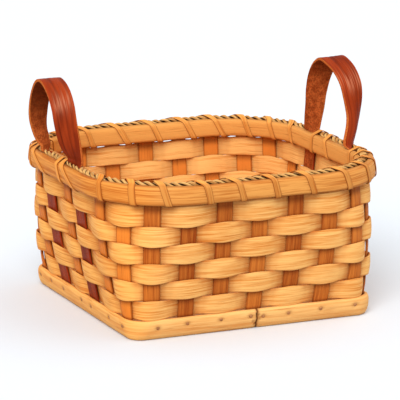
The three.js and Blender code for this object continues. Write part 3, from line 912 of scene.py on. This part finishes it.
def base_band(brads):
    """Half-round band round the foot, butted in front.

    Dents are bells of depth round each brad, chips are smaller bells beside the seam, and the
    butted ends waver and are rounded off.
    """
    run = np.linspace(0, 1, BAND_STATIONS)
    gap = SEAM_WIDTH / 2 / pitch_at(0)
    place = SEAM_PLACE + gap + run * (STAKES - 2 * gap)
    level, depth = half_round(BAND_TOP, BAND_THICK, BAND_POWER, points=33)
    front = depth > BAND_FRONT_FROM
    pitch = pitch_at(BAND_TOP / 2)
    edge = np.minimum(run, 1 - run) * STAKES * pitch
    waver = 0.25 * np.sin(level * 1.1) + 0.15 * np.sin(level * 2.7 + 1)
    place_grid = place[:, None] + waver * np.exp(-edge / 1.5)[:, None] / pitch
    top_waver = drift(run, size=0.12, waves=30)[:, None] * (level / BAND_TOP) ** 2
    body = depth + drift(run, size=0.08, waves=24)[:, None] * (depth > 0)
    hollow = np.zeros((BAND_STATIONS, len(level)))
    for places, levels, deep, wide, tall in ((*brads, *DENT), (CHIP_PLACES, CHIP_LEVELS, *CHIP)):
        away = (place_grid[:, :, None] - places + STAKES / 2) % STAKES - STAKES / 2
        bell = np.exp(-(away * pitch / wide) ** 2 - ((level[None, :, None] - levels) / tall) ** 2)
        hollow = np.maximum(hollow, deep * bell.max(axis=2))
    body = np.where(front, np.maximum(body - hollow, BAND_LEAST), body)
    round_off = 0.5 * np.exp(-edge / 0.5)[:, None] * front
    # Darker in the brads' dents and at the butted ends
    dents_and_ends_darker = np.clip(0.7 * hollow + 0.9 * np.exp(-edge / 0.7)[:, None], 0, 0.9)
    rows = wall(place_grid, level + top_waver, BAND_FACE + body - round_off)
    along = run * STAKES * pitch
    return tube("base_band_strip", rows, along, level, BAND_REED, ring=False, extra={"nook": dents_and_ends_darker})


def base_brads(brads):
    """Brad heads: low domes set in the band's dents, all in one mesh.

    Each head is a few rings of points on a flattened half ball; the rings are laid end to end so
    that one run of closed sections makes one head.
    """
    rings = BRAD_RADIUS * np.array([[0.15, 0.32], [0.6, 0.24], [0.95, 0.05], [1.0, -0.25], [0.9, -0.6]])
    radius, rise = rings[:, :1], rings[:, 1:]
    turn = np.linspace(0, 2 * math.pi, 10, endpoint=False)
    heads = []
    for place, level in zip(*brads):
        around = place + radius * np.cos(turn) / pitch_at(level)
        height = level + radius * np.sin(turn)
        base = BAND_FACE + band_depth(np.array(level)) - BRAD_SINK
        rows = wall(around, height, base + rise)
        heads.append(tube("brad", rows, np.arange(len(rings)), turn, BRAD_STEEL, ring=False, tone=0.5))
    return joined("base_brads", heads)


def joined(name, parts):
    """Several meshes as one piece, under one name."""
    with bpy.context.temp_override(active_object=parts[0], selected_editable_objects=parts):
        bpy.ops.object.join()
    parts[0].name = name
    parts[0].data.name = name
    return parts[0]


# Rim

def rim_strip(name, away, **shades):
    """Half-round rim strip with its flat back towards the wall; away is 1 outside, -1 inside.

    Its thickness and its level waver slowly round the rim. Shades set the values that its points
    carry, in place of the drawn ones.
    """
    turn = np.arange(RIM_STATIONS) / RIM_STATIONS
    level, depth = half_round(RIM_TOP - RIM_LOW, RIM_THICK, RIM_POWER, points=27)
    swell = 1 + drift(turn, size=0.02, waves=16)[:, None]
    lift = drift(turn, size=0.12, waves=14)[:, None]
    place = (turn * STAKES)[:, None]
    rows = wall(place, RIM_LOW + level + lift * depth / RIM_THICK, away * (RIM_FACE + depth * swell))
    along = np.arange(RIM_STATIONS + 1) * STAKES * pitch_at(RIM_MIDDLE) / RIM_STATIONS
    height = level / (RIM_TOP - RIM_LOW)
    # Painted shade along the strip's lower edge and its top edge
    nook = 0.45 * smoothstep((0.16 - height) / 0.16) + 0.3 * smoothstep((height - 0.9) / 0.1)
    return tube(name, rows, along, level, RIM_REED, ring=True, extra={"nook": nook, **shades})


# A ply's half width and its distance from the cord's middle, as shares of the cord's half width
PLY_HALF = 0.53
PLY_AWAY = 0.47


def filler_ply(name, start):
    """One of the two plies of the seagrass cord: a strand winding about the cord's middle line.

    Where a leather leg stands beside it the cord is pressed outwards and flattened. The strand's
    section has small lobes, its blades, and depth is high where it lies against the other ply,
    where the seagrass finish paints shade.
    """
    turn = np.arange(CORD_STATIONS) / CORD_STATIONS
    place = turn * STAKES
    leather = RIM_PLACE[IS_LEATHER]
    away = np.abs((place[:, None] - leather + STAKES / 2) % STAKES - STAKES / 2).min(axis=1)
    press = 1 - smoothstep((away - 0.36) / 0.3)
    squeeze_low = -STRAP_INSET + STRAP_THICK / 2 + CORD_CLEARANCE
    squeeze_high = RIM_FACE - CORD_CLEARANCE
    middle = press * (squeeze_low + squeeze_high) / 2
    wide = CORD_HALF_WIDTH + press * ((squeeze_high - squeeze_low) / 2 - CORD_HALF_WIDTH)
    tall = (CORD_TOP + CORD_SWELL - CORD_LOW) / 2 * (1 - 0.12 * press)
    level = (CORD_TOP + CORD_SWELL + CORD_LOW) / 2
    winds = round(STAKES * pitch_at(CORD_LEVEL) / CORD_TWIST)
    angle = -2 * math.pi * winds * turn + start + drift(turn, size=0.35, waves=60)
    angle = angle[:, None]
    lobe = np.linspace(0, 2 * math.pi, 20, endpoint=False)
    blades = 1 + 0.05 * np.cos(5 * lobe - 3 * angle)
    section = PLY_HALF * blades * (1 + drift(turn, size=0.05, waves=90)[:, None])
    # Painted shade: high where this ply lies against the other
    ply_shade = np.clip(-np.cos(lobe - angle), 0, 1)
    offset = middle[:, None] + wide[:, None] * (PLY_AWAY * np.cos(angle) + section * np.cos(lobe))
    z = level + tall[:, None] * (PLY_AWAY * np.sin(angle) + section * np.sin(lobe))
    rows = wall(place[:, None], z, offset)
    along = np.arange(CORD_STATIONS + 1) * STAKES * pitch_at(CORD_LEVEL) / CORD_STATIONS
    return tube(name, rows, along, lobe * 1.4, SEAGRASS, ring=True, extra={"depth": ply_shade})


def rim_round():
    """Closed outline just outside the rim, as offset and level, from the top over the outside.

    It follows the outer strip's half-round at the lashing's standoff, bridges to the cord on top
    and crosses below the strips; the inside is its mirror image.
    """
    turn = np.radians([70, 48, 24, 0, -24, -48, -70])
    power = 2 / RIM_POWER
    out = RIM_FACE + (RIM_THICK + LASHING_STANDOFF) * np.cos(turn) ** power
    half = (RIM_TOP - RIM_LOW) / 2 + LASHING_STANDOFF
    level = RIM_MIDDLE + half * np.sign(turn) * np.abs(np.sin(turn)) ** power
    below = RIM_LOW - LASHING_UNDER
    over_cord = [CORD_HALF_WIDTH, CORD_TOP + CORD_SWELL / 2]
    right = [over_cord, *np.stack([out, level], -1), [RIM_FACE, below + 0.3]]
    left = [[-a, b] for a, b in right[::-1]]
    top = [[0.0, CORD_TOP + CORD_SWELL + LASHING_STANDOFF]]
    return smooth_curve([*top, *right, [0.0, below], *left], OUTLINE_STATIONS, closed=True)


def rim_lashing():
    """The lashing: one flat reed wound round the rim, once for every stake.

    It is laid out on the rim's unrolled outline, where one way is the place and the other the
    length round the outline, so that it lies close on the rim wherever it slants. It climbs
    inside from the gap before a stake to the stake, crosses the top and falls outside to the gap
    after it; its way is straight between those points, with its turns eased. Shade is painted
    along its edges and below the rim, and it is drawn darker outside in front and inside at the
    back.
    """
    outline = rim_round()
    ring = np.concatenate([outline, outline[:1]])
    length = lengths(ring)
    tangent = unit(np.roll(outline, -1, axis=0) - np.roll(outline, 1, axis=0))
    normal = np.stack([-tangent[:, 1], tangent[:, 0]], -1)
    normal = normal * np.sign((normal * (outline - [0, RIM_MIDDLE])).sum(-1, keepdims=True))
    normal = np.concatenate([normal, normal[:1]])
    pitch = pitch_at(RIM_MIDDLE)
    after = crossing_after(STAKE_INDEX, RIM_LOW) + rng.normal(0, 0.03, STAKES)
    before = np.concatenate([[after[-1] - STAKES], after[:-1]])
    leg_edge = (STRAP_WIDTH / 2 + LASHING_WIDTH / 2 + 1) / pitch
    beside = RIM_PLACE - leg_edge
    loose = rng.normal(0, 0.04, STAKES) + np.roll(STAKE_SLANT, -1)
    inner = np.where(IS_LEATHER, beside, STAKE_PLACE + LASHING_INNER + loose)
    fall = np.where(np.roll(IS_LEATHER, -1), LASHING_OUTER_BEFORE_LEATHER, LASHING_OUTER)
    outer = np.where(IS_LEATHER, beside + 0.02, STAKE_PLACE + fall + loose)
    steps = LASHING_STATIONS_PER_TURN
    corners = np.stack([before, inner, outer, after], axis=1)
    at = np.interp(np.arange(steps) / steps, LASHING_CORNERS, np.arange(4.0))
    low = at.astype(int)
    place = (corners[:, low] + (corners[:, low + 1] - corners[:, low]) * (at - low)).ravel()
    count = len(place)
    ease = np.hanning(LASHING_EASE + 2)[1:-1]
    lap = LASHING_EASE // 2
    lapped = np.concatenate([place[-lap:] - STAKES, place, place[:lap] + STAKES])
    place = np.convolve(lapped, ease / ease.sum(), "valid")
    winding = 0.5 + np.arange(count) / steps
    x = place * pitch
    y = winding * length[-1]
    ahead = np.concatenate([x[1:], [x[0] + STAKES * pitch]])
    behind = np.concatenate([[x[-1] - STAKES * pitch], x[:-1]])
    way = unit(np.stack([ahead - behind, np.full(count, 2 * length[-1] / steps)], -1))
    s, t = reed_section(face_points=9, edge_points=3, edge_share=0.12, crown=0.4)
    turn = np.arange(count) / count
    across = (LASHING_WIDTH + drift(turn, size=0.2, waves=80))[:, None] / 2 * s
    grid_x = x[:, None] - across * way[:, 1:]
    grid_y = (y[:, None] + across * way[:, :1]) % length[-1]
    deep = LASHING_THICK / 2 * t
    offset = np.interp(grid_y, length, ring[:, 0]) + deep * np.interp(grid_y, length, normal[:, 0])
    z = np.interp(grid_y, length, ring[:, 1]) + deep * np.interp(grid_y, length, normal[:, 1])
    rows = wall(grid_x / pitch, z, offset)
    along = np.concatenate([[0], np.cumsum(np.hypot(np.diff(x), np.diff(y)))])
    along = np.concatenate([along, [along[-1] + along[1]]])
    # Painted shade below the rim and along the edges; drawn darker outside in front and inside at the
    # back
    under = smoothstep((RIM_LOW + 0.4 - z) / 0.8)
    frontness = np.cos(2 * math.pi * grid_x / pitch / STAKES)
    darker_front_and_back = 0.34 * smoothstep((offset - 3) / 3) * smoothstep((frontness - 0.3) / 0.4)
    darker_front_and_back = darker_front_and_back + 0.12 * smoothstep((-offset - 3) / 3) * smoothstep((-frontness - 0.3) / 0.4)
    edge = 0.7 * smoothstep((np.abs(s) - 0.82) / 0.16)
    nook = np.clip(edge + 0.8 * under + darker_front_and_back, 0, 0.9)
    return tube("rim_lashing_reed", rows, along, across, LASHING_REED, ring=True, extra={"nook": nook})


# Leather loops

# The arches' points, front to back: a share of the half span, a share of the height, and how far
# the point leans outwards as a share of the height
LEFT_ARCH = [
    [-1, 0, 0], [-1.01, 0.08, 0.03], [-1, 0.2, 0.07], [-0.97, 0.38, 0.11], [-0.92, 0.54, 0.13],
    [-0.79, 0.7, 0.13], [-0.54, 0.86, 0.13], [-0.19, 0.97, 0.13], [0.15, 1, 0.13], [0.46, 0.93, 0.13],
    [0.76, 0.75, 0.13], [0.93, 0.55, 0.13], [0.99, 0.38, 0.12], [1.03, 0.2, 0.08], [1.03, 0.08, 0.03],
    [1, 0, 0],
]
RIGHT_ARCH = [
    [-1, 0, 0], [-0.98, 0.08, 0.03], [-0.95, 0.2, 0.065], [-0.9, 0.36, 0.085], [-0.88, 0.56, 0.07],
    [-0.78, 0.76, 0.05], [-0.46, 0.92, 0.03], [0.03, 1, 0.005], [0.37, 0.9, 0.01], [0.62, 0.72, 0],
    [0.79, 0.5, 0], [0.86, 0.3, 0], [0.95, 0.12, 0], [1, 0, 0],
]
# Turn in degrees, and fold in millimetres, at shares of the loop's length
LEFT_TURNS = [
    [0, 15], [0.055, 29], [0.105, 40], [0.175, 48], [0.24, 55], [0.315, 66], [0.4, 80], [0.5, 90],
    [0.62, 86], [0.76, 76], [0.825, 70], [0.876, 60], [0.91, 54], [0.955, 48], [1, 41],
]
RIGHT_TURNS = [
    [0, 47], [0.04, 48], [0.075, 50], [0.11, 54], [0.145, 60], [0.18, 68], [0.25, 84], [0.32, 96],
    [0.42, 101], [0.5, 98], [0.6, 78], [0.67, 62], [0.735, 50], [0.81, 37], [0.885, 27], [0.925, 22],
    [0.965, 18], [1, 14],
]
LEFT_FOLDS = [[0, 0], [0.3, 0], [0.7, 0], [0.9, -0.8], [1, -1.5]]
RIGHT_FOLDS = [[0, 2.5], [0.06, 3], [0.12, 2.2], [0.2, 1], [0.3, 0.3], [0.5, 0], [1, 0]]
# Levels between which a leg starts to turn
TURN_START = 102.3
TURN_END = 108.0
# Long creases: where across the strap, how wide and how strong
CREASES = ((-0.62, 0.07, 0.8), (-0.2, 0.09, 1.0), (0.28, 0.08, 0.9), (0.66, 0.06, 0.7))
CREASE_DEPTH = 0.22
# Share of the loop's height where a highlight is painted on its shoulder
HIGHLIGHT_AT = 0.75


def along_loop(points, count, ease):
    """Values along a whole strap from points on its loop; each leg eases to the loop's end."""
    curve = smooth_curve(points, LOOP_SAMPLES)
    loop = np.interp(np.linspace(0, 1, count), curve[:, 0], curve[:, 1])
    return np.concatenate([loop[0] * ease, loop, loop[-1] * ease[::-1]])


def strap(name, side, height, arch, turns, folds, shade_from, highlight_strength):
    """One strap, from the foot of its front leg over the loop to the foot of its back leg.

    The legs follow the wall, and step inwards and slant at the rim; the loop is a smooth arch.
    The strap's turn about its own length, in degrees, is a smooth curve through the given
    points: 0 faces out of the wall and 90 out of the arch. So is its fold, by which both edges
    stand back from the middle. The section is a rounded flat bar with long creases pressed into
    its outer face, where shade is painted darker. Shade is painted dark on its inside from one
    share of the loop's height upwards, and the last argument is how pale a highlight is painted
    on its shoulder.
    """
    outward = -1.0 if side == "left" else 1.0
    legs = np.flatnonzero(IS_LEATHER & (STAKE_SIDE == SIDE_NAMES.index(side)))
    front, back = legs if side == "right" else legs[::-1]
    z = np.linspace(STAKE_FOOT, HINGE_LEVEL - 1, LEG_STATIONS)
    inset = -STRAP_INSET * smoothstep((z - RIM_LOW) / (RIM_MIDDLE - RIM_LOW))
    slope = smoothstep((z - RIM_LOW) / (RIM_TOP - RIM_LOW))
    leg_front = wall(STAKE_PLACE[front] + STAKE_SLANT[front] * slope, z, inset)
    leg_back = wall(STAKE_PLACE[back] + STAKE_SLANT[back] * slope, z, inset)
    feet = wall(RIM_PLACE[[front, back]], HINGE_LEVEL, -STRAP_INSET)
    hinge = feet.mean(axis=0)
    half = np.abs(feet[0, 1] - feet[1, 1]) / 2
    shape = np.array(arch, float) * [half, height, outward * height]
    loop = hinge + smooth_curve(shape[:, [2, 0, 1]], LOOP_STATIONS)
    path = np.concatenate([leg_front, loop, leg_back[::-1]])
    run = lengths(path)
    along = unit(np.gradient(path, run, axis=0))
    ease = smoothstep((z - TURN_START) / (TURN_END - TURN_START))
    twist = np.radians(along_loop(turns, len(loop), ease))[:, None]
    fold = along_loop(folds, len(loop), ease)[:, None]
    arch_out = unit(np.cross([1.0, 0, 0], along))
    wall_out = np.array([outward, 0, 0]) - along * along[:, :1] * outward
    face = unit(unit(wall_out) * np.cos(twist) + arch_out * np.sin(twist))
    side_way = unit(np.cross(along, face))
    s, t = reed_section(face_points=25, edge_points=6, edge_share=0.035, crown=0.1)
    above = smoothstep((path[:, 2] - RIM_LOW) / (HINGE_LEVEL - RIM_LOW))
    thick = LEG_THICK + (STRAP_THICK - LEG_THICK) * above
    free = smoothstep((path[:, 2] - RIM_TOP) / 8)
    share = run / run[-1]
    crease = np.zeros((len(path), len(s)))
    for centre, width, strength in CREASES:
        wander = centre + drift(share, size=0.05, waves=5)
        press = 0.55 + 0.45 * np.sin(2 * math.pi * share * 3 + centre * 9)
        crease += strength * press[:, None] * np.exp(-((s - wander[:, None]) / width) ** 2)
    crease = crease * free[:, None]
    outer = np.clip(t, 0, 1)
    deep = thick[:, None] / 2 * t - CREASE_DEPTH * crease * outer - fold * (s * s - 0.3)
    half_width = (LEG_WIDTH + (STRAP_WIDTH - LEG_WIDTH) * above) / 2 + drift(share, size=0.12, waves=9)
    wide = (1 - 0.03 * np.abs(fold)) * half_width[:, None] * s
    rows = path[:, None, :] + side_way[:, None, :] * wide[:, :, None]
    rows = rows + face[:, None, :] * deep[:, :, None]
    flat = np.sign(t) * np.clip(np.abs(t) * 1.2, 0, 1)
    edge_face = np.where(path[:, 2] < RIM_TOP, 1.0, 0.0)[:, None]
    rise = (path[:, 2] - HINGE_LEVEL) / height
    # Painted shade inside the top of the loop
    inner_shade = 0.8 * smoothstep((rise - shade_from) / 0.6)[:, None] * (t < 0)
    # Painted highlight on the shoulder of the front leg
    painted_highlight = highlight_strength * np.exp(-((rise - HIGHLIGHT_AT) / 0.1) ** 2) * (share < 0.5)
    extra = {
        "face": np.where(np.abs(s) < 0.97, flat, edge_face),
        "crease": crease * outer,
        "nook": inner_shade,
        "painted_highlight": painted_highlight[:, None],
    }
    return tube(name, rows, run, wide, LEATHER, ring=False, extra=extra)


# Making and fitting the pieces


def fixed(piece, slot, *nodes):
    """A piece of the basket itself: it rides on the basket and stands for its CAD nodes."""
    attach(piece, "basket")
    if nodes:
        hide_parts(*nodes)


for number, middle_level in enumerate(ROW_LEVELS, start=1):
    lowered = FOOT_ROW_DROP if number == 1 else 0.0
    rise, lean = (TOP_ROW_RISE, TOP_ROW_LEAN) if number == len(ROW_LEVELS) else (0.0, 0.0)
    strip = weaver(
        f"woven_row_{number}", number, middle_level - lowered, WEAVER_HALF, WEAVER_SPREAD,
        WEAVER_STATIONS_PER_PITCH, rise, lean,
    )
    fixed(strip, "weaver_reed", f"weaver_row_{number}")
hidden_half = (HIDDEN_ROW_HIGH - HIDDEN_ROW_LOW) / 2
hidden_row = weaver(
    "woven_row_in_rim", len(ROW_LEVELS) + 1, HIDDEN_ROW_LOW + hidden_half, hidden_half, 0.0,
    HIDDEN_ROW_STATIONS_PER_PITCH,
)
fixed(hidden_row, "weaver_reed", "top_weaver")

for index in STAKE_INDEX[~IS_LEATHER]:
    label = f"{SIDE_NAMES[STAKE_SIDE[index]]}_{STAKE_STEP[index] + 4}"
    fixed(stake(f"upright_{label}", int(index)), "stake_reed", f"stake_{label}")

fixed(base_board(), "base_board", "base_board")
brad_spots = brad_places()
fixed(base_band(brad_spots), "base_band", "base_band")
fixed(base_brads(brad_spots), None)
fixed(rim_strip("rim_outer_strip", 1.0), "rim_reed", "rim_outer")
# The inner rim strip is drawn paler: painted light
fixed(rim_strip("rim_inner_strip", -1.0, tone=RIM_INSIDE_PAINTED_LIGHT), "rim_reed", "rim_inner")
plies = [filler_ply("ply", 0.0), filler_ply("other_ply", math.pi)]
fixed(joined("rim_seagrass_cord", plies), "seagrass", "rim_filler")
fixed(rim_lashing(), "lashing_reed", "rim_lashing")

for side, height, arch, turns, folds, shade_from, highlight_strength in (
    ("left", LEFT_LOOP_HEIGHT, LEFT_ARCH, LEFT_TURNS, LEFT_FOLDS, 0.15, 0.6),
    ("right", RIGHT_LOOP_HEIGHT, RIGHT_ARCH, RIGHT_TURNS, RIGHT_FOLDS, 0.5, 1.0),
):
    piece = strap(f"leather_strap_{side}", side, height, arch, turns, folds, shade_from, highlight_strength)
    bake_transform(piece)
    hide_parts(f"strap_{side}_loop", f"strap_{side}_leg_front", f"strap_{side}_leg_back")


# Floor, light and camera

FLOOR_WHITE = (0.745, 0.785, 0.83, 1.0)
FLOOR_SHADE = (0.55, 0.55, 0.55, 1.0)
FLOOR_HALF = 3000.0
FLOOR_SQUARES = 8
KEY_FROM = (-0.45, -0.62, 0.64)
KEY_STRENGTH = 2.4
KEY_SPREAD = 40
FILL_FROM = (0.6, -0.1, 0.8)
FILL_STRENGTH = 0.5
FILL_SPREAD = 60
SKY_STRENGTH = 0.72


def background_ray(nodes):
    """1 for a ray that shows the background: from the camera, or by way of metal or glass."""
    path = nodes.add("ShaderNodeLightPath")
    straight = nodes.math("MAXIMUM", path.outputs["Is Camera Ray"], path.outputs["Is Glossy Ray"])
    return nodes.math("MAXIMUM", straight, path.outputs["Is Transmission Ray"])


def floor():
    """A wide pale sheet under the basket, made of a few squares; it throws little light back."""
    size = FLOOR_SQUARES + 1
    steps = np.linspace(-FLOOR_HALF, FLOOR_HALF, size)
    x, y = np.meshgrid(steps, steps, indexing="ij")
    points = np.stack([x, y, 0 * x], -1).reshape(-1, 3) * MM
    i, j = np.meshgrid(np.arange(FLOOR_SQUARES), np.arange(FLOOR_SQUARES), indexing="ij")
    corner = i * size + j
    quads = np.stack([corner, corner + size, corner + size + 1, corner + 1], -1).reshape(-1, 4)
    mesh = bpy.data.meshes.new("floor")
    mesh.from_pydata(points.tolist(), [], quads.tolist())
    material, nodes, shader = finish_of("floor_paper")
    nodes.feed(nodes.mix(background_ray(nodes), FLOOR_SHADE, FLOOR_WHITE), shader.inputs["Base Color"])
    shader.inputs["Roughness"].default_value = 0.9
    shader.inputs["Specular IOR Level"].default_value = 0.0
    mesh.materials.append(material)
    sheet = bpy.data.objects.new("floor", mesh)
    bpy.context.collection.objects.link(sheet)


def sun(name, direction, strength, spread):
    """A wide soft lamp shining from a direction; spread is the angle it covers in the sky."""
    light = bpy.data.lights.new(name, "SUN")
    light.energy = strength
    light.angle = math.radians(spread)
    lamp = bpy.data.objects.new(name, light)
    lamp.rotation_euler = Vector(direction).to_track_quat("Z", "Y").to_euler()
    bpy.context.collection.objects.link(lamp)


def sky(strength):
    """Even light from all round; the camera, metal and glass see it as white."""
    world = bpy.data.worlds.new("studio")
    bpy.context.scene.world = world
    world.use_nodes = True
    nodes = Nodes(world.node_tree)
    plain = world.node_tree.nodes["Background"]
    plain.inputs["Color"].default_value = (1.0, 1.0, 1.0, 1.0)
    plain.inputs["Strength"].default_value = strength
    white = nodes.add("ShaderNodeBackground")
    both = nodes.add("ShaderNodeMixShader")
    nodes.feed(background_ray(nodes), both.inputs[0])
    nodes.feed(plain.outputs[0], both.inputs[1])
    nodes.feed(white.outputs[0], both.inputs[2])
    nodes.feed(both.outputs[0], world.node_tree.nodes["World Output"].inputs["Surface"])


def camera():
    """The photograph's view: from the front left, a little above, through a long lens."""
    azimuth = math.radians(VIEW_AZIMUTH)
    elevation = math.radians(VIEW_ELEVATION)
    back = Vector((
        math.sin(azimuth) * math.cos(elevation),
        -math.cos(azimuth) * math.cos(elevation),
        math.sin(elevation),
    ))
    right = Vector((math.cos(azimuth), math.sin(azimuth), 0.0))
    up = back.cross(right)
    centre = Vector(VIEW_CENTRE)
    data = bpy.data.cameras.new("camera")
    data.lens = VIEW_LENS
    data.clip_end = VIEW_FAR
    eye = bpy.data.objects.new("camera", data)
    eye.location = centre + back * VIEW_DISTANCE
    aim = centre + up * VIEW_LIFT + right * VIEW_SIDE
    eye.rotation_euler = (eye.location - aim).to_track_quat("Z", "Y").to_euler()
    bpy.context.collection.objects.link(eye)
    bpy.context.scene.camera = eye


floor()
sun("key", KEY_FROM, KEY_STRENGTH, KEY_SPREAD)
sun("fill", FILL_FROM, FILL_STRENGTH, FILL_SPREAD)
sky(SKY_STRENGTH)
camera()
bpy.context.scene.view_settings.view_transform = "Standard"
